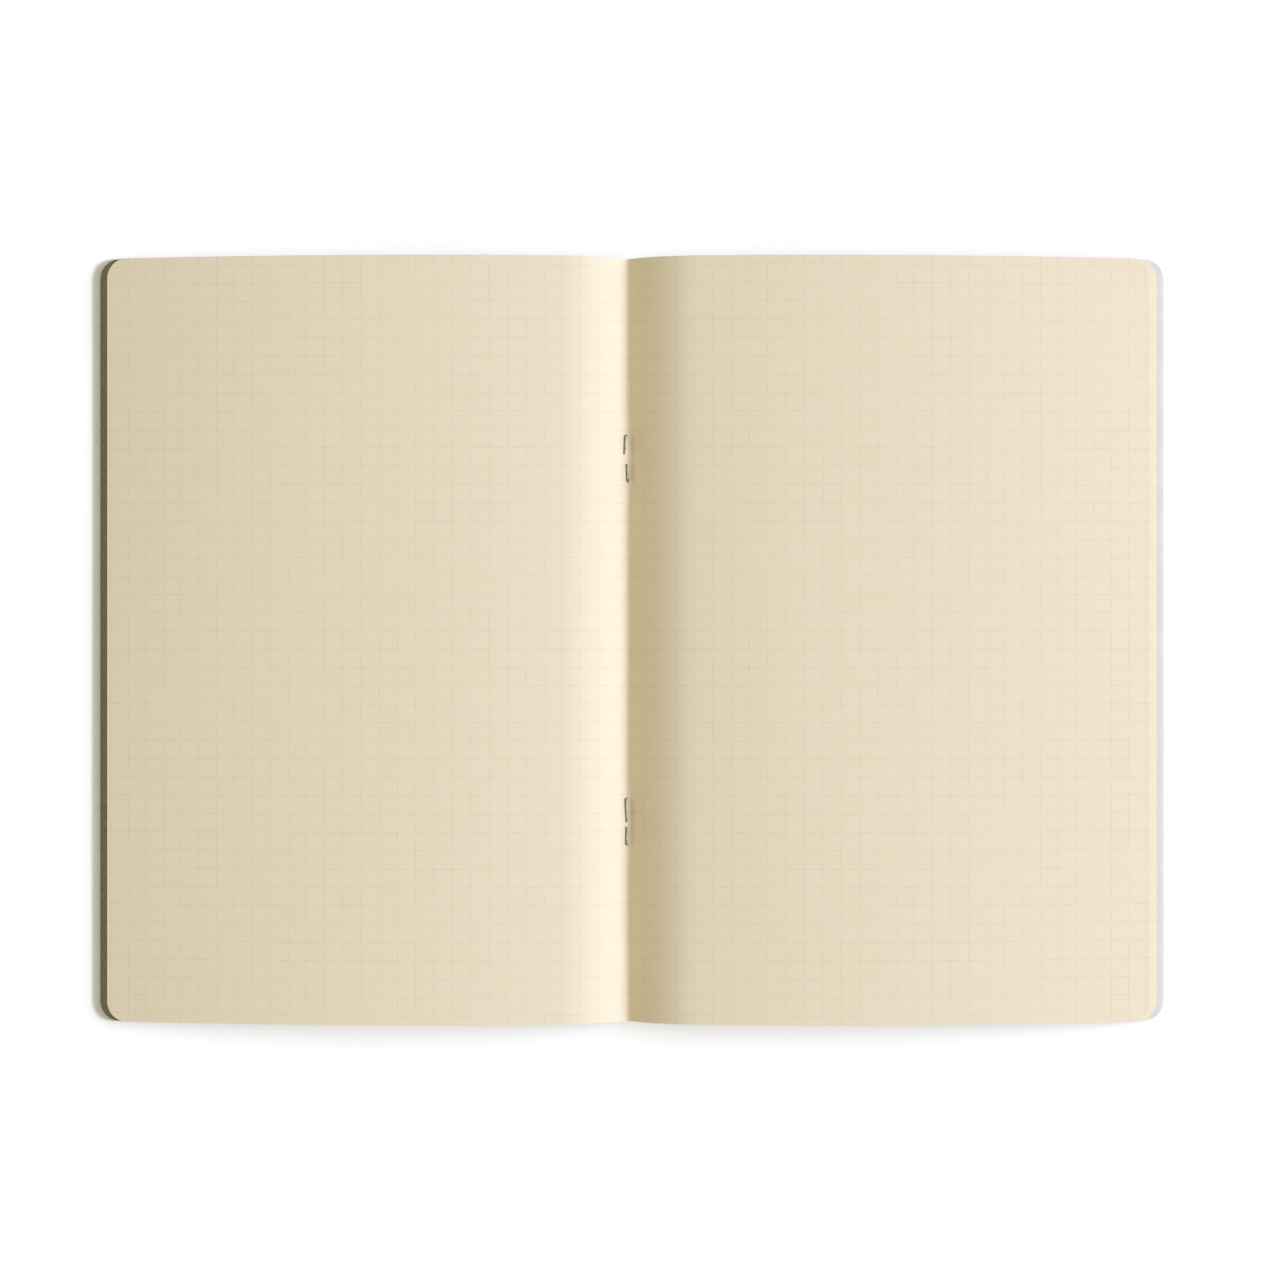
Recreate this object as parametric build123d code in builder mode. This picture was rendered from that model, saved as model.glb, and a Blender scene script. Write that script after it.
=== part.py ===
"""A saddle-stitched A5 notebook, lying open at its centre spread, in millimetres.

Sixteen folded sheets nest inside a folded card cover and are held by two wire staples through the fold.
Each sheet and the cover bends at the spine, so each is made as a fold strip and two leaves.
The origin is on the table under the middle of the spine, +Z is up and the spine runs along Y.
"""

import os
from math import cos, pi, radians, sin

from build123d import *

# Paper and card
PAGE_HEIGHT = 210.0
LEAF_LENGTH = 146.1
SHEET_COUNT = 16
SHEET_THICKNESS = 0.09
SHEET_PITCH = 0.095
COVER_THICKNESS = 0.3
COVER_OVERHANG = 1.7
COVER_GAP = 0.01
CORNER_RADIUS = 5.5

# Cross-section of one half: half the flat of the gutter, its round, then three tangent arcs
GUTTER_FLAT = 0.35
GUTTER_RADIUS = 0.3
GUTTER_SLOPE = 42.0
SHOULDER_SLOPE = 6.0
SHOULDER_LENGTH = 19.5
CREST_LENGTH = 31.0
FORE_EDGE_SLOPE = 10.75

# Where each sheet changes from fold strip to leaf
HINGE_SLOPE = 20.0
HINGE_GAP = 0.7

# Wire staples
WIRE_DIAMETER = 0.5
WIRE_GAP = 0.02
BEND_RADIUS = 0.5
STAPLE_WIDTH = 13.5
STAPLE_OFFSET = 50.0
CLINCH_LENGTH = 5.2
SLIT_WIDTH = 0.6

# Worked out from the above
COVER_DEPTH = GUTTER_RADIUS + SHEET_COUNT * SHEET_PITCH + COVER_GAP
STACK_DEPTH = COVER_DEPTH + COVER_THICKNESS
GUTTER_Z = STACK_DEPTH + WIRE_GAP + WIRE_DIAMETER
SHOULDER_RADIUS = SHOULDER_LENGTH / radians(GUTTER_SLOPE - SHOULDER_SLOPE)
CREST_RADIUS = CREST_LENGTH / radians(SHOULDER_SLOPE)
OUTER_LENGTH = LEAF_LENGTH - SHOULDER_LENGTH - CREST_LENGTH
OUTER_RADIUS = OUTER_LENGTH / radians(FORE_EDGE_SLOPE)
TRIM_HEIGHT = 40.0


def step_off(point, distance, slope):
    """The point at a distance along the upward normal of a surface with this slope, in degrees."""
    return (point[0] - distance * sin(radians(slope)), point[1] + distance * cos(radians(slope)))


GUTTER_CENTRE = (GUTTER_FLAT, GUTTER_Z)
SHOULDER_CENTRE = step_off(GUTTER_CENTRE, -SHOULDER_RADIUS, GUTTER_SLOPE)
CREST_CENTRE = step_off(SHOULDER_CENTRE, SHOULDER_RADIUS - CREST_RADIUS, SHOULDER_SLOPE)
OUTER_CENTRE = step_off(CREST_CENTRE, CREST_RADIUS - OUTER_RADIUS, 0)


def arc_points(centre, radius, start, end, side):
    """Start, middle and end of an arc that runs from one slope to another, on the side -1 or 1."""
    slopes = (start, (start + end) / 2, end)
    points = [step_off(centre, radius, slope) for slope in slopes]
    return [(side * x, z) for x, z in points]


def leaf_arcs(depth, inner_slope, outer_slope, side):
    """The three arcs of a surface at a depth below the upper page, from the hinge to the fore-edge."""
    return [
        arc_points(SHOULDER_CENTRE, SHOULDER_RADIUS - depth, inner_slope, SHOULDER_SLOPE, side),
        arc_points(CREST_CENTRE, CREST_RADIUS - depth, SHOULDER_SLOPE, 0, side),
        arc_points(OUTER_CENTRE, OUTER_RADIUS - depth, 0, -outer_slope, side),
    ]


def fold_arcs(depth, outer_slope):
    """The four arcs of a surface at a depth through the fold, from the left hinge to the right."""
    radius = SHOULDER_RADIUS - depth
    return [
        arc_points(SHOULDER_CENTRE, radius, outer_slope, GUTTER_SLOPE, -1),
        arc_points(GUTTER_CENTRE, -depth, GUTTER_SLOPE, 0, -1),
        arc_points(GUTTER_CENTRE, -depth, 0, GUTTER_SLOPE, 1),
        arc_points(SHOULDER_CENTRE, radius, GUTTER_SLOPE, outer_slope, 1),
    ]


def end_lines(upper, lower):
    """The two short lines that close a band between two chains of arcs."""
    return [(upper[0][0], lower[0][0]), (upper[-1][-1], lower[-1][-1])]


def fore_edge(depth, overhang):
    """How far from the spine a layer ends. Trimmed when closed, a deeper layer is longer by its wrap."""
    length = LEAF_LENGTH + overhang + (depth - GUTTER_RADIUS) * pi / 2
    used = GUTTER_FLAT + depth * radians(GUTTER_SLOPE)
    used += (SHOULDER_RADIUS - depth) * radians(GUTTER_SLOPE - SHOULDER_SLOPE)
    used += (CREST_RADIUS - depth) * radians(SHOULDER_SLOPE)
    angle = (length - used) / (OUTER_RADIUS - depth)
    return OUTER_CENTRE[0] + (OUTER_RADIUS - depth) * sin(angle)


def leaf(depth, thickness, overhang, side):
    """One half of a sheet or of the cover, from the hinge to the fore-edge, with two rounded corners."""
    inner_slope = HINGE_SLOPE - HINGE_GAP
    outer_slope = FORE_EDGE_SLOPE + 1
    upper = leaf_arcs(depth, inner_slope, outer_slope, side)
    lower = leaf_arcs(depth + thickness, inner_slope, outer_slope, side)
    with BuildPart() as built:
        with BuildSketch(Plane.XZ):
            with BuildLine():
                for arc in upper + lower:
                    ThreePointArc(*arc)
                for line in end_lines(upper, lower):
                    Line(*line)
            make_face()
        extrude(amount=PAGE_HEIGHT / 2, both=True)
        with BuildSketch(Plane.XY):
            width = fore_edge(depth + thickness / 2, overhang)
            align = (Align.MIN if side > 0 else Align.MAX, Align.CENTER)
            Rectangle(width, PAGE_HEIGHT, align=align)
            corners = vertices().group_by(Axis.X)[-1 if side > 0 else 0]
            fillet(corners, CORNER_RADIUS)
        extrude(amount=TRIM_HEIGHT, mode=Mode.INTERSECT)
    return built.part


def fold(depth, thickness):
    """The strip of a sheet or of the cover that bends round the spine, slit for each leg of the wire."""
    upper = fold_arcs(depth, HINGE_SLOPE)
    lower = fold_arcs(depth + thickness, HINGE_SLOPE)
    flats = [(surface[1][-1], surface[2][0]) for surface in (upper, lower)]
    with BuildPart() as built:
        with BuildSketch(Plane.XZ):
            with BuildLine():
                for arc in upper + lower:
                    ThreePointArc(*arc)
                for line in end_lines(upper, lower) + flats:
                    Line(*line)
            make_face()
        extrude(amount=PAGE_HEIGHT / 2, both=True)
        with BuildSketch(Plane.XY):
            with GridLocations(0, 2 * STAPLE_OFFSET, 1, 2):
                with GridLocations(0, STAPLE_WIDTH, 1, 2):
                    Rectangle(SLIT_WIDTH, SLIT_WIDTH)
        extrude(amount=TRIM_HEIGHT, mode=Mode.SUBTRACT)
    return built.part


def staple(middle):
    """A wire staple: the crown outside the spine, two legs through it, clinched along the gutter."""
    crown_z = WIRE_DIAMETER / 2
    clinch_z = GUTTER_Z - GUTTER_RADIUS + WIRE_GAP + WIRE_DIAMETER / 2
    near = middle - STAPLE_WIDTH / 2
    far = middle + STAPLE_WIDTH / 2
    corners = [
        (near + CLINCH_LENGTH, clinch_z),
        (near, clinch_z),
        (near, crown_z),
        (far, crown_z),
        (far, clinch_z),
        (far - CLINCH_LENGTH, clinch_z),
    ]
    with BuildPart() as built:
        with BuildLine(Plane.YZ) as wire:
            FilletPolyline(*corners, radius=BEND_RADIUS)
        with BuildSketch(Plane(origin=wire.line @ 0, z_dir=wire.line % 0)):
            Circle(WIRE_DIAMETER / 2)
        sweep()
    return built.part


def save(part, name):
    part.label = name
    export_step(part, f"parts/{name}.step")


os.makedirs("parts", exist_ok=True)

for index in range(SHEET_COUNT):
    sheet_depth = GUTTER_RADIUS + index * SHEET_PITCH
    sheet_name = f"sheet_{index + 1:02d}"
    save(leaf(sheet_depth, SHEET_THICKNESS, 0, -1), f"{sheet_name}_left")
    save(fold(sheet_depth, SHEET_THICKNESS), f"{sheet_name}_fold")
    save(leaf(sheet_depth, SHEET_THICKNESS, 0, 1), f"{sheet_name}_right")

save(leaf(COVER_DEPTH, COVER_THICKNESS, COVER_OVERHANG, -1), "cover_left")
save(fold(COVER_DEPTH, COVER_THICKNESS), "cover_fold")
save(leaf(COVER_DEPTH, COVER_THICKNESS, COVER_OVERHANG, 1), "cover_right")

save(staple(STAPLE_OFFSET), "staple_upper")
save(staple(-STAPLE_OFFSET), "staple_lower")
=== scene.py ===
"""Looks of a saddle-stitched A5 notebook lying open at its centre spread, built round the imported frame."""

import math
import random

import bpy
import numpy as np
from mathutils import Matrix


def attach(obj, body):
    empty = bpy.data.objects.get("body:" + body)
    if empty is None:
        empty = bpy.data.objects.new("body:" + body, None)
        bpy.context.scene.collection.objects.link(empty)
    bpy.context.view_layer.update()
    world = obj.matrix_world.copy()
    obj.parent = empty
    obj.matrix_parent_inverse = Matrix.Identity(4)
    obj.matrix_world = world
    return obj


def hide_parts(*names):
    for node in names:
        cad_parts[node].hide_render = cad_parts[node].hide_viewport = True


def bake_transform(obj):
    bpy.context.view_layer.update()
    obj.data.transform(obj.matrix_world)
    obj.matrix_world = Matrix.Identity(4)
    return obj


MM = 0.001
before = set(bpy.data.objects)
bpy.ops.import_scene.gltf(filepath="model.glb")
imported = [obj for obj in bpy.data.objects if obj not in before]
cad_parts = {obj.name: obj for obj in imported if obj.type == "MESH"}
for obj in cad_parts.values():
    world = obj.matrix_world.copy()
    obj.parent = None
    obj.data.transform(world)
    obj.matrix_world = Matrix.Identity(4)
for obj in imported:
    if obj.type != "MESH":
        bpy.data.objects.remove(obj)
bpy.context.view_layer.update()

# Paper and card, in metres
PAGE_HEIGHT = 210 * MM
LEAF_LENGTH = 146.1 * MM
SHEET_COUNT = 16
SHEET_THICKNESS = 0.09 * MM
SHEET_PITCH = 0.095 * MM
COVER_THICKNESS = 0.3 * MM
COVER_OVERHANG = 1.7 * MM
COVER_GAP = 0.01 * MM
CORNER_RADIUS = 5.5 * MM

# Staples and ruling
STAPLE_OFFSET = 50 * MM
STAPLE_WIDTH = 13.5 * MM
WIRE_RADIUS = 0.25 * MM
WIRE_GAP = 0.02 * MM
WIRE_BEND = 0.5 * MM
SQUARE = 5 * MM

# Cross-section of one half: half the flat of the gutter, its round, then three tangent arcs
GUTTER_FLAT = 0.35 * MM
GUTTER_RADIUS = 0.3 * MM
GUTTER_SLOPE = math.radians(42)
SHOULDER_SLOPE = math.radians(6)
FORE_EDGE_SLOPE = math.radians(10.75)
SHOULDER_LENGTH = 19.5 * MM
CREST_LENGTH = 31 * MM
COVER_DEPTH = GUTTER_RADIUS + SHEET_COUNT * SHEET_PITCH + COVER_GAP
GUTTER_Z = COVER_DEPTH + COVER_THICKNESS + WIRE_GAP + 2 * WIRE_RADIUS
SHOULDER_RADIUS = SHOULDER_LENGTH / (GUTTER_SLOPE - SHOULDER_SLOPE)
CREST_RADIUS = CREST_LENGTH / SHOULDER_SLOPE
OUTER_RADIUS = (LEAF_LENGTH - SHOULDER_LENGTH - CREST_LENGTH) / FORE_EDGE_SLOPE

# A ripple in the paper, which starts on the shoulder and fades in
RIPPLE_HEIGHT = 0.16 * MM
RIPPLE_START = 12 * MM
RIPPLE_FADE = 30 * MM

# How far the crease stands from the wire beside a staple, and how far from the crease that reaches
CREASE_SHIFT = 0.42 * MM
CREASE_SHIFT_SPREAD = 8.5 * MM
CREASE_REACH = 4.5 * MM

# The lip of paper round each wire where it comes through the fold
LIP_HEIGHT = 0.30 * MM
LIP_PLACE = 0.35 * MM

# Mesh columns on the gutter round, shoulder, crest, outer stretch and corner, and mesh rows in half a page
CENTRE_STEPS = (6, 44, 16, 34, 8)
SHEET_STEPS = (4, 22, 10, 24, 6)
COVER_STEPS = (6, 30, 12, 28, 8)
HALF_ROWS = 18
FINE_STEP = 0.3 * MM


# Section of the paper ------------------------------------------------------------------------


def step_off(point, distance, slope):
    """The point at a distance along the upward normal of a surface with this slope."""
    return (point[0] - distance * math.sin(slope), point[1] + distance * math.cos(slope))


GUTTER_CENTRE = (GUTTER_FLAT, GUTTER_Z)
SHOULDER_CENTRE = step_off(GUTTER_CENTRE, -SHOULDER_RADIUS, GUTTER_SLOPE)
CREST_CENTRE = step_off(SHOULDER_CENTRE, SHOULDER_RADIUS - CREST_RADIUS, SHOULDER_SLOPE)
OUTER_CENTRE = step_off(CREST_CENTRE, CREST_RADIUS - OUTER_RADIUS, 0)


def trimmed(depth, overhang=0.0):
    """The length of a layer from the fold. Trimmed when closed, a deeper layer is longer by its wrap."""
    return LEAF_LENGTH + overhang + (depth - GUTTER_RADIUS) * math.pi / 2


def stretches(depth):
    """The four arcs beyond the flat of the gutter: centre, signed radius, first slope and length."""
    return [
        (GUTTER_CENTRE, -depth, 0.0, depth * GUTTER_SLOPE),
        (SHOULDER_CENTRE, SHOULDER_RADIUS - depth, GUTTER_SLOPE,
         (SHOULDER_RADIUS - depth) * (GUTTER_SLOPE - SHOULDER_SLOPE)),
        (CREST_CENTRE, CREST_RADIUS - depth, SHOULDER_SLOPE, (CREST_RADIUS - depth) * SHOULDER_SLOPE),
        (OUTER_CENTRE, OUTER_RADIUS - depth, 0.0, math.inf),
    ]


def stations(middle, length, steps):
    """Places along a layer, from the fold to the fore-edge: (stretch, slope, distance from the fold)."""
    places = [(0, 0.0, 0.0)]
    walked = GUTTER_FLAT
    for index, (_, radius, slope, span) in enumerate(stretches(middle)):
        last = index == 3
        reach = length - walked - CORNER_RADIUS if last else span
        for k in range(steps[index] + (1 if last else 0)):
            along = reach * k / steps[index]
            places.append((index, slope - along / radius, walked + along))
        if last:
            for k in range(1, steps[4] + 1):
                along = reach + CORNER_RADIUS * math.sin(math.pi / 2 * k / steps[4])
                places.append((index, slope - along / radius, walked + along))
        walked += 0 if last else span
    return places


def wave(distance, y):
    """How far the paper rises from its ideal section: a gentle ripple shared by every layer."""
    fade = min(1.0, max(0.0, (distance - RIPPLE_START) / RIPPLE_FADE))
    ripple = math.sin(y * 31 + distance * 17 + 0.7) * math.sin(distance * 37 + 1.1)
    return fade * RIPPLE_HEIGHT * ripple


def half_height(distance, length):
    """Half the height of a layer at a distance from the fold, less the rounding of its corner."""
    into = distance - (length - CORNER_RADIUS)
    if into <= 0:
        return PAGE_HEIGHT / 2
    drop = CORNER_RADIUS - math.sqrt(max(0.0, CORNER_RADIUS**2 - into**2))
    return PAGE_HEIGHT / 2 - drop


def wire_entries():
    """Where along the spine the wire comes through the fold."""
    return [sign * STAPLE_OFFSET + leg * STAPLE_WIDTH for sign in (-1, 1) for leg in (-0.5, 0.5)]


def rows(fine):
    """Heights of the mesh rows as shares of half the page, closer together where the wire comes through."""
    marks = {round(k / HALF_ROWS, 6) for k in range(-HALF_ROWS, HALF_ROWS + 1)}
    if fine:
        for entry in wire_entries():
            marks |= {round((entry + k * FINE_STEP) / (PAGE_HEIGHT / 2), 6) for k in range(-8, 9)}
    return sorted(marks)


def sway(distance, y):
    """How far the crease wanders sideways. Beside the staples it stands to the right of the wire."""
    offsets = [(y - sign * STAPLE_OFFSET) / CREASE_SHIFT_SPREAD for sign in (-1, 1)]
    near = sum(math.exp(-(offset**2)) for offset in offsets)
    wander = 0.09 * MM * math.sin(y * 47 + 0.6) + 0.05 * MM * math.sin(y * 131 + 2.0)
    return (CREASE_SHIFT * near + wander) * math.exp(-((distance / CREASE_REACH) ** 2))


def torn_lip(x, y):
    """The paper stands up a little round each wire where it comes through the fold."""
    total = 0.0
    for entry in wire_entries():
        spread = ((y - entry) / (1.1 * MM)) ** 2 + ((x - LIP_PLACE) / (0.7 * MM)) ** 2
        total += LIP_HEIGHT * math.exp(-spread)
    return total


def skin_faces(columns, count, side):
    """The faces of the upper and the lower surface of a layer, from a grid of columns and rows."""
    faces = []
    for skin in (0, 1):
        for i in range(columns - 1):
            for j in range(count - 1):
                a = (skin * columns + i) * count + j
                quad = (a, a + count, a + count + 1, a + 1)
                faces.append(quad if (skin == 0) == (side > 0) else quad[::-1])
    return faces


def rim_faces(columns, count, side):
    """The faces that join the two surfaces all round."""
    low = columns * count
    ring = [i * count for i in range(columns)]
    ring += [(columns - 1) * count + j for j in range(1, count)]
    ring += [i * count + count - 1 for i in range(columns - 2, -1, -1)]
    ring += [j for j in range(count - 2, 0, -1)]
    faces = []
    for k, a in enumerate(ring):
        b = ring[(k + 1) % len(ring)]
        quad = (b, a, a + low, b + low)
        faces.append(quad if side > 0 else quad[::-1])
    return faces


def layer(name, side, depth, thickness, length, steps, fine, materials):
    """One half of a sheet or of the cover as a closed skin, from the fold to the fore-edge."""
    middle = depth + thickness / 2
    arcs = [stretches(depth), stretches(depth + thickness)]
    places = stations(middle, length, steps)
    heights = rows(fine)
    verts = []
    page = []
    for skin in (0, 1):
        for stretch, slope, distance in places:
            centre, radius = arcs[skin][stretch][:2]
            x, z = step_off(centre, radius, slope)
            if distance == 0:
                x = 0.0
            for share in heights:
                y = share * half_height(distance, length)
                lift = wave(distance, y) + (torn_lip(side * x, y) if fine else 0)
                verts.append((side * x + sway(distance, y), y, z + lift))
                page.append((distance, y))
    flat_faces = skin_faces(len(places), len(heights), side)
    cut_faces = rim_faces(len(places), len(heights), side)
    mesh = bpy.data.meshes.new(name)
    mesh.from_pydata(verts, [], flat_faces + cut_faces)
    page_map = mesh.uv_layers.new(name="Page")
    rim_map = mesh.uv_layers.new(name="Rim")
    for polygon in mesh.polygons:
        polygon.use_smooth = polygon.index < len(flat_faces)
        polygon.material_index = 0 if polygon.index < len(flat_faces) else 1
        for loop in polygon.loop_indices:
            distance, y = page[mesh.loops[loop].vertex_index]
            page_map.data[loop].uv = (distance, y)
            rim_map.data[loop].uv = (length - distance, y)
    for material in materials:
        mesh.materials.append(material)
    piece = bpy.data.objects.new(name, mesh)
    bpy.context.scene.collection.objects.link(piece)
    mesh.set_sharp_from_angle(angle=math.radians(50))
    return piece


# Materials -----------------------------------------------------------------------------------


class Nodes:
    """A short way to write a material's node tree."""

    def __init__(self, name):
        self.material = bpy.data.materials.new(name)
        self.material.use_nodes = True
        self.tree = self.material.node_tree
        self.shader = self.tree.nodes["Principled BSDF"]

    def add(self, kind, settings=None, **inputs):
        """A node of this kind, its settings, and its inputs by name, with spaces as underscores."""
        node = self.tree.nodes.new(kind)
        for key, value in (settings or {}).items():
            setattr(node, key, value)
        for key, value in inputs.items():
            self.feed(node.inputs[key.replace("_", " ")], value)
        return node

    def feed(self, socket, value):
        if hasattr(value, "is_output"):
            self.tree.links.new(value, socket)
        else:
            socket.default_value = value

    def math(self, operation, *values):
        node = self.tree.nodes.new("ShaderNodeMath")
        node.operation = operation
        for socket, value in zip(node.inputs, values):
            self.feed(socket, value)
        return node.outputs[0]

    def ramp(self, value, low, high, to_low=0.0, to_high=1.0):
        settings = {"interpolation_type": "SMOOTHSTEP"}
        node = self.add("ShaderNodeMapRange", settings, Value=value)
        for socket, number in zip(("From Min", "From Max", "To Min", "To Max"), (low, high, to_low, to_high)):
            node.inputs[socket].default_value = number
        return node.outputs["Result"]

    def noise(self, place, size, detail=3.0, rough=0.6):
        """Noise with features of about this size, in metres."""
        node = self.add("ShaderNodeTexNoise", Vector=place, Scale=1 / size, Detail=detail, Roughness=rough)
        return node.outputs["Fac"]

    def stretched(self, place, scale):
        """The place scaled along each axis, for features that are longer one way."""
        return self.add("ShaderNodeMapping", Vector=place, Scale=scale).outputs[0]

    def mapped(self, name):
        """The two numbers of a UV map of the layer."""
        place = self.add("ShaderNodeUVMap", {"uv_map": name}).outputs[0]
        split = self.add("ShaderNodeSeparateXYZ", Vector=place)
        return split.outputs[0], split.outputs[1]

    def mix(self, factor, a, b):
        node = self.tree.nodes.new("ShaderNodeMix")
        node.data_type = "RGBA"
        self.feed(node.inputs[0], factor)
        self.feed(node.inputs[6], a)
        self.feed(node.inputs[7], b)
        return node.outputs[2]

    def finish(self, colour, rough, height=None, depth=0.02 * MM, strength=0.5):
        self.feed(self.shader.inputs["Base Color"], colour)
        self.feed(self.shader.inputs["Roughness"], rough)
        if height is not None:
            bump = self.add("ShaderNodeBump", Height=height, Strength=strength, Distance=depth)
            self.tree.links.new(bump.outputs[0], self.shader.inputs["Normal"])
        return self.material


PAPER = (0.895, 0.795, 0.60, 1)
PAPER_WARM = (0.87, 0.755, 0.545, 1)
PAPER_FIBRE = (0.62, 0.52, 0.38, 1)
PAPER_CUT = (0.80, 0.70, 0.52, 1)
PAPER_NICK = (0.62, 0.53, 0.38, 1)
# Painted shade: the rim of the left pages below the top one is darkened for the shadow on their stepped
# fore-edge
PAINTED_RIM_SHADE = (0.37, 0.32, 0.235, 1)
PAINTED_RIM_SHADE_DARK = (0.23, 0.195, 0.135, 1)
# Painted shade for the fore-edge cut faces of the same pages
PAINTED_EDGE_SHADE = (0.24, 0.205, 0.14, 1)
INK = (0.40, 0.36, 0.31, 1)
CARD = (0.73, 0.72, 0.69, 1)
CARD_DARK = (0.61, 0.60, 0.57, 1)
CARD_SPECK = (0.34, 0.33, 0.31, 1)
CARD_RUBBED = (0.87, 0.86, 0.83, 1)
CARD_NICK = (0.75, 0.735, 0.70, 1)
STEEL = (0.34, 0.325, 0.26, 1)
STEEL_DULL = (0.20, 0.19, 0.15, 1)
FLOOR = (0.90, 0.90, 0.895, 1)
FLOOR_HAZE = (0.885, 0.885, 0.88, 1)
WHITE = (1, 1, 1, 1)

# How far in the rims of the cover are rubbed
RUBBED_WIDTH = 1.6 * MM


def painted_rim_shade(n):
    """Mask for painted shade: 1 at the cut rim of a layer, round its corners too, and 0 a little way in."""
    inset, y = n.mapped("Rim")
    across = n.math("MAXIMUM", n.math("SUBTRACT", CORNER_RADIUS, inset), 0.0)
    along = n.math("SUBTRACT", n.math("ABSOLUTE", y), PAGE_HEIGHT / 2 - CORNER_RADIUS)
    along = n.math("MAXIMUM", along, 0.0)
    squares = n.math("ADD", n.math("MULTIPLY", across, across), n.math("MULTIPLY", along, along))
    inside = n.math("SUBTRACT", CORNER_RADIUS, n.math("SQRT", squares))
    return n.ramp(inside, 0.16 * MM, 0.30 * MM, 1.0, 0.0)


def paper(name, ruled=False, shaded=False):
    """Uncoated cream paper: cloudy formation, fibres, a faint square ruling, and, if wanted, painted shade on
    its rim.
    """
    n = Nodes(name)
    place = n.add("ShaderNodeUVMap", {"uv_map": "Page"}).outputs[0]
    clouds = n.noise(place, 7 * MM, 4, 0.55)
    fibres = n.noise(n.stretched(place, (1, 2.6, 1)), 0.55 * MM, 4, 0.7)
    tooth = n.noise(place, 0.16 * MM, 2)
    colour = n.mix(n.ramp(clouds, 0.3, 0.75, 0.0, 0.38), PAPER, PAPER_WARM)
    colour = n.mix(n.ramp(fibres, 0.52, 0.80, 0.0, 0.10), colour, PAPER_FIBRE)
    if ruled:
        distance, y = n.mapped("Page")
        across = n.math("PINGPONG", distance, SQUARE / 2)
        along = n.math("PINGPONG", n.math("ADD", y, SQUARE / 2 + 40 * SQUARE), SQUARE / 2)
        upright = n.ramp(across, 0.07 * MM, 0.16 * MM, 1.0, 0.0)
        upright = n.math("MULTIPLY", upright, n.math("GREATER_THAN", distance, SQUARE / 2))
        level = n.ramp(along, 0.07 * MM, 0.16 * MM, 1.0, 0.0)
        lines = n.math("MAXIMUM", upright, level)
        press = n.ramp(n.noise(place, 3.2 * MM, 4), 0.3, 0.7, 0.07, 0.24)
        press = n.math("MULTIPLY", press, n.ramp(n.noise(place, 24 * MM, 2), 0.3, 0.7, 0.6, 1.0))
        colour = n.mix(n.math("MULTIPLY", lines, press), colour, INK)
    # Painted shade in streaks along the rim, for the shadow between the stepped page edges
    if shaded:
        streak = n.noise(n.stretched(place, (6, 0.4, 1)), 0.9 * MM, 3)
        dark = n.mix(n.ramp(streak, 0.35, 0.65), PAINTED_RIM_SHADE, PAINTED_RIM_SHADE_DARK)
        colour = n.mix(painted_rim_shade(n), colour, dark)
    n.shader.inputs["Specular IOR Level"].default_value = 0.22
    n.shader.inputs["Sheen Weight"].default_value = 0.04
    height = n.math("ADD", n.math("MULTIPLY", fibres, 0.7), n.math("MULTIPLY", tooth, 0.5))
    return n.finish(colour, n.ramp(fibres, 0.3, 0.8, 0.80, 0.93), height, 0.03 * MM, 0.45)


def cut_edge(name, light, dark, shaded=False):
    """The cut edge of a layer: pressed fibres with darker nicks, and, if wanted, painted shade darkening the
    fore-edge.
    """
    n = Nodes(name)
    place = n.add("ShaderNodeTexCoord").outputs["Object"]
    nicks = n.noise(place, 0.9 * MM, 4, 0.7)
    grain = n.noise(n.stretched(place, (3, 1, 6)), 0.3 * MM, 3)
    colour = n.mix(n.ramp(nicks, 0.35, 0.7), light, dark)
    # Painted shade, strongest at the fore-edge and gone a corner radius in
    if shaded:
        outer = n.ramp(n.mapped("Rim")[0], 0.3 * CORNER_RADIUS, CORNER_RADIUS, 0.65, 0.0)
        colour = n.mix(outer, colour, PAINTED_EDGE_SHADE)
    return n.finish(colour, n.ramp(grain, 0.3, 0.7, 0.82, 0.95), grain, 0.03 * MM, 0.5)


def card():
    """Plain light grey cover card with fine speckle, soft mottling and paler rubbed rims."""
    n = Nodes("cover_card")
    place = n.add("ShaderNodeUVMap", {"uv_map": "Page"}).outputs[0]
    mottle = n.noise(place, 9 * MM, 4, 0.6)
    speckle = n.noise(place, 0.35 * MM, 3, 0.75)
    laid = n.noise(n.stretched(place, (1, 5, 1)), 1.1 * MM, 3, 0.6)
    distance, y = n.mapped("Page")
    reach = n.math("ABSOLUTE", y)
    head = n.ramp(reach, PAGE_HEIGHT / 2 - RUBBED_WIDTH, PAGE_HEIGHT / 2, 0.0, 1.0)
    outer = trimmed(COVER_DEPTH, COVER_OVERHANG)
    side = n.ramp(distance, outer - RUBBED_WIDTH, outer, 0.0, 1.0)
    spine = n.ramp(distance, 0.6 * MM, 2.4 * MM, 1.0, 0.0)
    worn = n.math("MAXIMUM", n.math("MAXIMUM", head, side), spine)
    worn = n.math("MULTIPLY", worn, n.ramp(speckle, 0.35, 0.65, 0.1, 0.8))
    colour = n.mix(n.ramp(mottle, 0.3, 0.7, 0.0, 0.35), CARD, CARD_DARK)
    colour = n.mix(n.ramp(speckle, 0.6, 0.75, 0.0, 0.35), colour, CARD_SPECK)
    colour = n.mix(worn, colour, CARD_RUBBED)
    n.shader.inputs["Specular IOR Level"].default_value = 0.3
    height = n.math("ADD", n.math("MULTIPLY", laid, 0.6), n.math("MULTIPLY", speckle, 0.6))
    return n.finish(colour, n.ramp(laid, 0.3, 0.7, 0.62, 0.80), height, 0.04 * MM, 0.45)


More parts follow.
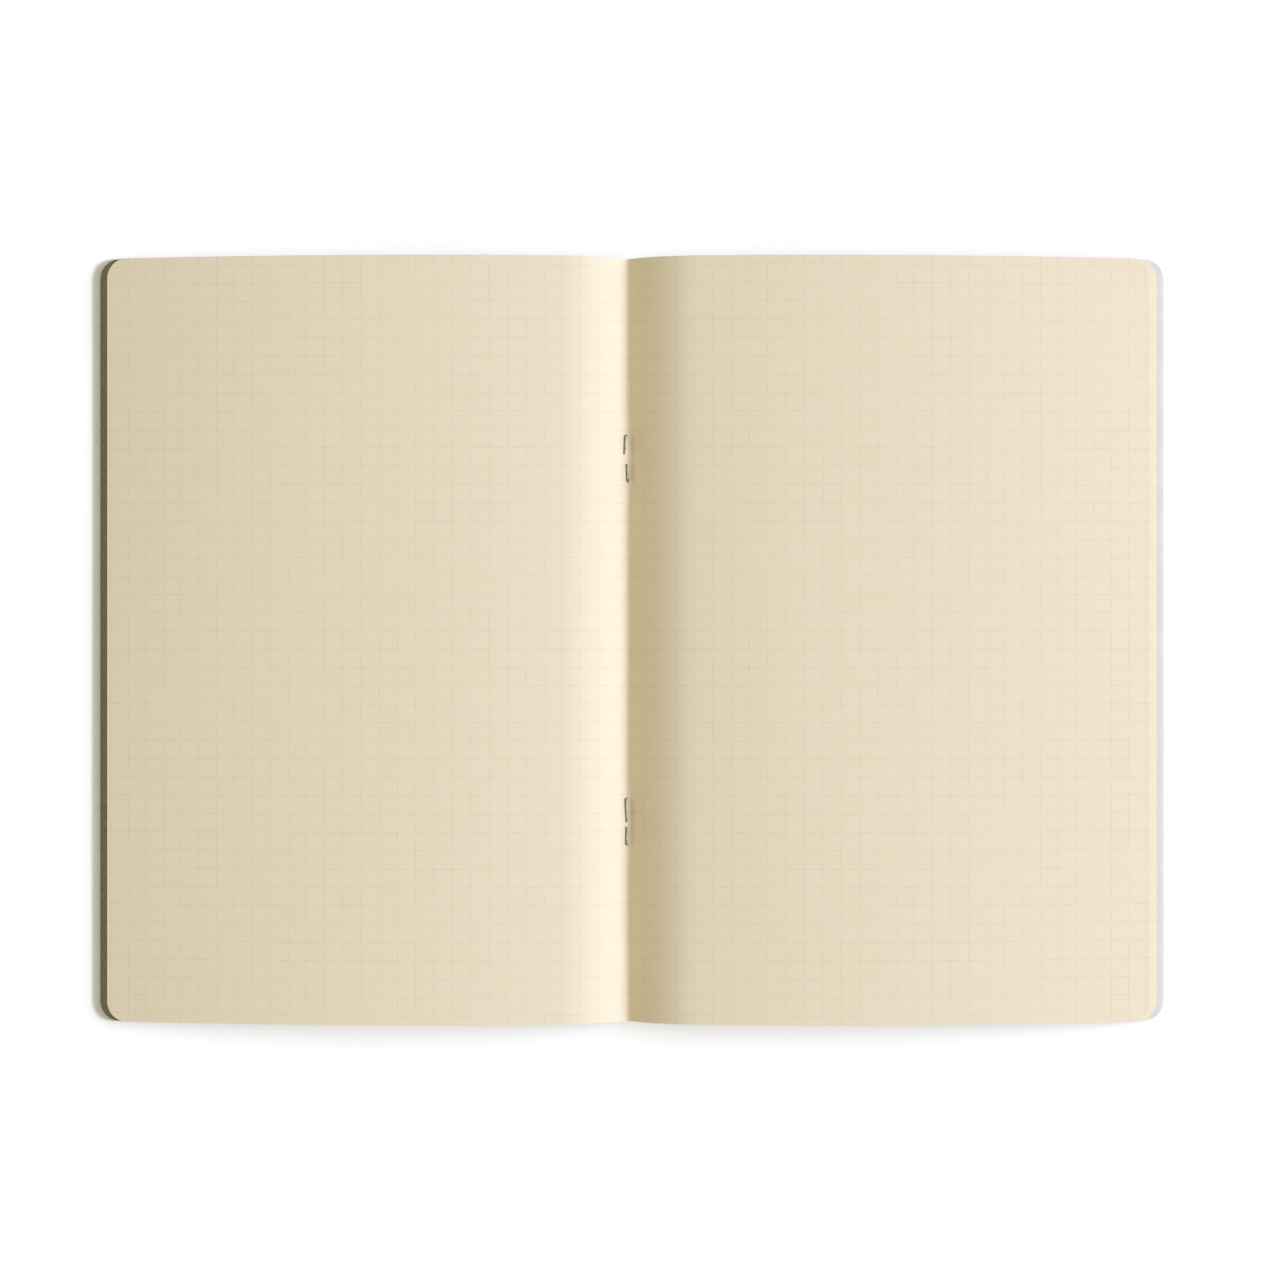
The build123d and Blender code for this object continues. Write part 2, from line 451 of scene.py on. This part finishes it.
def wire():
    """Drawn steel wire with faint lengthwise scratches and dull patches."""
    n = Nodes("staple_wire")
    place = n.add("ShaderNodeTexCoord").outputs["Object"]
    drawn = n.noise(n.stretched(place, (8, 0.6, 8)), 0.35 * MM, 4, 0.7)
    dull = n.noise(place, 0.9 * MM, 3)
    colour = n.mix(n.ramp(dull, 0.4, 0.7), STEEL, STEEL_DULL)
    n.shader.inputs["Metallic"].default_value = 0.95
    return n.finish(colour, n.ramp(drawn, 0.3, 0.7, 0.24, 0.46), drawn, 0.02 * MM, 0.4)


# Pieces --------------------------------------------------------------------------------------


def bend(piece):
    """Bakes a layer's placement into its mesh."""
    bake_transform(piece)


def make_sheets(centre_skins, left_skins, right_skins):
    """Every folded sheet as two leaves that meet in the fold."""
    chance = random.Random(7)
    for number in range(1, SHEET_COUNT + 1):
        depth = GUTTER_RADIUS + (number - 1) * SHEET_PITCH
        for side_name, side in (("left", -1), ("right", 1)):
            length = trimmed(depth + SHEET_THICKNESS / 2)
            length += chance.uniform(-0.05, 0.05) * MM
            steps = CENTRE_STEPS if number == 1 else SHEET_STEPS
            name = f"page_{number:02d}_{side_name}"
            # The left pages below the top one take the copies with painted shade on their rims and fore-edges
            skins = centre_skins if number == 1 else left_skins if side < 0 else right_skins
            piece = layer(name, side, depth, SHEET_THICKNESS, length, steps, number == 1, skins)
            bend(piece)
            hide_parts(f"sheet_{number:02d}_{side_name}", f"sheet_{number:02d}_fold")


def make_cover(skins):
    """The card cover as two boards that meet in the spine."""
    length = trimmed(COVER_DEPTH + COVER_THICKNESS / 2, COVER_OVERHANG)
    for side_name, side in (("left", -1), ("right", 1)):
        name = f"card_{side_name}"
        piece = layer(name, side, COVER_DEPTH, COVER_THICKNESS, length, COVER_STEPS, False, skins)
        bend(piece)
        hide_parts(f"cover_{side_name}", "cover_fold")


def tube(name, path, radius, material):
    """A round wire along a path, with slightly rounded cut ends."""
    points = np.array(path)
    tangents = np.gradient(points, axis=0)
    tangents /= np.linalg.norm(tangents, axis=1)[:, None]
    sides = 14
    normal = np.cross(tangents[0], (1.0, 0.0, 0.0))
    verts = []
    for index, (point, tangent) in enumerate(zip(points, tangents)):
        normal = normal - tangent * normal.dot(tangent)
        normal /= np.linalg.norm(normal)
        other = np.cross(tangent, normal)
        end = index in (0, len(points) - 1)
        size = radius * (0.82 if end else 1)
        for k in range(sides):
            angle = 2 * math.pi * k / sides
            verts.append(point + size * (math.cos(angle) * normal + math.sin(angle) * other))
    faces = []
    for i in range(len(points) - 1):
        for k in range(sides):
            a = i * sides + k
            b = i * sides + (k + 1) % sides
            faces.append((a, b, b + sides, a + sides))
    faces.append(tuple(range(sides - 1, -1, -1)))
    faces.append(tuple(range((len(points) - 1) * sides, len(points) * sides)))
    mesh = bpy.data.meshes.new(name)
    mesh.from_pydata([tuple(v) for v in verts], [], faces)
    mesh.shade_smooth()
    mesh.set_sharp_from_angle(angle=math.radians(60))
    mesh.materials.append(material)
    piece = bpy.data.objects.new(name, mesh)
    bpy.context.scene.collection.objects.link(piece)
    return piece


def rounded(corners, radius, pieces=6):
    """A polyline with each inner corner replaced by a short curve."""
    corners = [np.array(c, float) for c in corners]
    path = [corners[0]]
    for before, corner, after in zip(corners, corners[1:], corners[2:]):
        start = corner + (before - corner) / np.linalg.norm(before - corner) * radius
        end = corner + (after - corner) / np.linalg.norm(after - corner) * radius
        for k in range(pieces + 1):
            t = k / pieces
            path.append(start * (1 - t) ** 2 + corner * 2 * t * (1 - t) + end * t**2)
    return path + [corners[-1]]


def on_gutter(x, y, lift):
    """A point on a wire's centre line that lies beside the crease at x, in the gutter or on its slope."""
    reach = abs(x - sway(0, y)) - GUTTER_FLAT
    radius = GUTTER_RADIUS - WIRE_RADIUS
    on_flank = reach * math.tan(GUTTER_SLOPE) - radius / math.cos(GUTTER_SLOPE)
    return (x, y, GUTTER_Z + max(-radius, on_flank) + lift)


def make_staples(material):
    """Two wire staples, their legs clinched a little to the left of the crease."""
    # For the leg nearer the head and the other: where it bends and where it ends beside the crease, and its
    # length, in millimetres
    shapes = {
        "upper": (1, (-0.85, -1.02, 5.6), (-0.25, -0.48, 5.2)),
        "lower": (-1, (-0.78, -0.46, 6.9), (-0.60, -0.50, 5.3)),
    }
    for name, (sign, head_leg, tail_leg) in shapes.items():
        middle = sign * STAPLE_OFFSET
        far = middle + STAPLE_WIDTH / 2
        near = middle - STAPLE_WIDTH / 2
        crown = WIRE_RADIUS
        head_bend, head_tip, head_length = (v * MM for v in head_leg)
        tail_bend, tail_tip, tail_length = (v * MM for v in tail_leg)
        corners = [
            on_gutter(head_tip, far - head_length, 0.03 * MM),
            on_gutter(head_bend, far - 0.5 * MM, 0.10 * MM),
            (0, far, crown),
            (0, near, crown),
            on_gutter(tail_bend, near + 0.5 * MM, 0.10 * MM),
            on_gutter(tail_tip, near + tail_length, 0.03 * MM),
        ]
        piece = tube(f"wire_{name}", rounded(corners, WIRE_BEND), WIRE_RADIUS, material)
        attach(piece, "spine")
        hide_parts(f"staple_{name}")


# Stage ---------------------------------------------------------------------------------------


def make_floor():
    """A plain white floor that stays bright for the camera, with soft shadows."""
    mesh = bpy.data.meshes.new("floor")
    reach = 20.0
    corners = [(-reach, -reach, 0), (reach, -reach, 0), (reach, reach, 0), (-reach, reach, 0)]
    mesh.from_pydata(corners, [], [(0, 1, 2, 3)])
    floor = bpy.data.objects.new("floor", mesh)
    bpy.context.scene.collection.objects.link(floor)
    n = Nodes("floor")
    place = n.add("ShaderNodeTexCoord").outputs["Object"]
    haze = n.ramp(n.noise(place, 60 * MM), 0.3, 0.7, 0.0, 1.0)
    n.finish(n.mix(haze, FLOOR, FLOOR_HAZE), 0.9)
    seen = n.add("ShaderNodeLightPath").outputs["Is Camera Ray"]
    n.shader.inputs["Emission Color"].default_value = WHITE
    n.feed(n.shader.inputs["Emission Strength"], n.math("MULTIPLY", seen, 0.28))
    mesh.materials.append(n.material)


def make_light():
    """A low soft key from the right and a warm even fill."""
    key = bpy.data.lights.new("key", "SUN")
    key.energy = 3.4
    key.angle = math.radians(34)
    key.color = (0.70, 0.745, 1.0)
    lamp = bpy.data.objects.new("key", key)
    lamp.rotation_euler = (math.radians(-6), math.radians(60), 0)
    bpy.context.scene.collection.objects.link(lamp)
    world = bpy.data.worlds.new("fill")
    world.use_nodes = True
    tree = world.node_tree
    seen = tree.nodes.new("ShaderNodeLightPath").outputs["Is Camera Ray"]
    sky = tree.nodes.new("ShaderNodeMix")
    sky.data_type = "RGBA"
    sky.inputs[6].default_value = (0.50, 0.472, 0.345, 1)
    sky.inputs[7].default_value = WHITE
    tree.links.new(seen, sky.inputs[0])
    tree.links.new(sky.outputs[2], tree.nodes["Background"].inputs["Color"])
    bpy.context.scene.world = world


def make_camera():
    """Straight above the spread, at a distance that gives the page its slight swelling at the crests."""
    distance = 820 * MM
    field = 352.6 * MM
    off_centre = 3.15 * MM
    lens = bpy.data.cameras.new("camera")
    lens.sensor_width = 36
    lens.lens = lens.sensor_width * distance / field
    camera = bpy.data.objects.new("camera", lens)
    camera.location = (off_centre, 0, GUTTER_Z + distance)
    bpy.context.scene.collection.objects.link(camera)
    bpy.context.scene.camera = camera
    bpy.context.scene.view_settings.view_transform = "Standard"


ruled = paper("squared_paper", ruled=True)
# The shaded copies of the paper and the page edge carry painted shade for the fore-edge of the left stack
shaded_paper = paper("squared_paper_shaded", ruled=True, shaded=True)
cut_paper = cut_edge("page_edge", PAPER_CUT, PAPER_NICK)
shaded_edge = cut_edge("page_edge_shaded", PAPER_CUT, PAPER_NICK, shaded=True)
grey_card = card()
cut_card = cut_edge("card_edge", CARD_RUBBED, CARD_NICK)
make_cover((grey_card, cut_card))
make_sheets((ruled, cut_paper), (shaded_paper, shaded_edge), (ruled, cut_paper))
make_staples(wire())
make_floor()
make_light()
make_camera()
